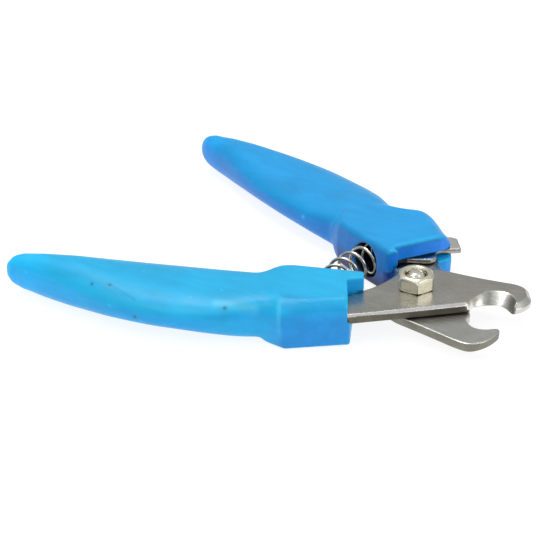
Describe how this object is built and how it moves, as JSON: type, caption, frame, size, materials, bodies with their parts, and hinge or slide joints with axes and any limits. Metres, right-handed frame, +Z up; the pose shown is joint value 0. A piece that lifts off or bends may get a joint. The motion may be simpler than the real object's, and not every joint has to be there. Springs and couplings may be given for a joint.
{
  "type": "pet nail trimmer",
  "caption": "Plier-type pet nail trimmer with two moulded grips, notched steel blades on a bolted pivot, a coil return spring and a thumb lock lever, shown open.",
  "frame": {"origin": "middle of the bounding box in plan, on the surface the trimmer lies on", "axes": "+X along the trimmer's centre line towards the jaws, +Y towards the rear grip, +Z up along the pivot bolt"},
  "size_m": [0.1162, 0.0892, 0.0122],
  "materials": {
    "grip_plastic": "semi-gloss moulded, bright blue",
    "blade_steel": "satin ground stainless steel",
    "nut_plating": "bright nickel plate",
    "bolt_plating": "bright nickel plate",
    "spring_wire": "bright plated spring wire",
    "lever_steel": "plated stamped steel",
    "rivet_steel": "plain steel pin"
  },
  "bodies": {
    "front": {"front_handle": "grip_plastic", "upper_blade": "blade_steel", "pivot_nut": "nut_plating", "pivot_bolt": "bolt_plating", "return_spring": "spring_wire"},
    "rear": {"rear_handle": "grip_plastic", "lower_blade": "blade_steel", "lock_rivet": "rivet_steel"},
    "lock": {"lock_lever": "lever_steel"}
  },
  "joints": [
    {"name": "blade_pivot", "type": "hinge", "parent": "front", "child": "rear", "pos_m": [0.03148, 0, 0.006], "axis": [0, 0, 1], "range_deg": [0, 43.5], "stiffness_Nm_per_rad": 0.4, "springref_deg": -17.19, "deforming": ["return_spring"]},
    {"name": "lock_pivot", "type": "hinge", "parent": "rear", "child": "lock", "pos_m": [0.0232, 0.01899, 0.00647], "axis": [0, 0, 1], "range_deg": [0, 35]}
  ]
}
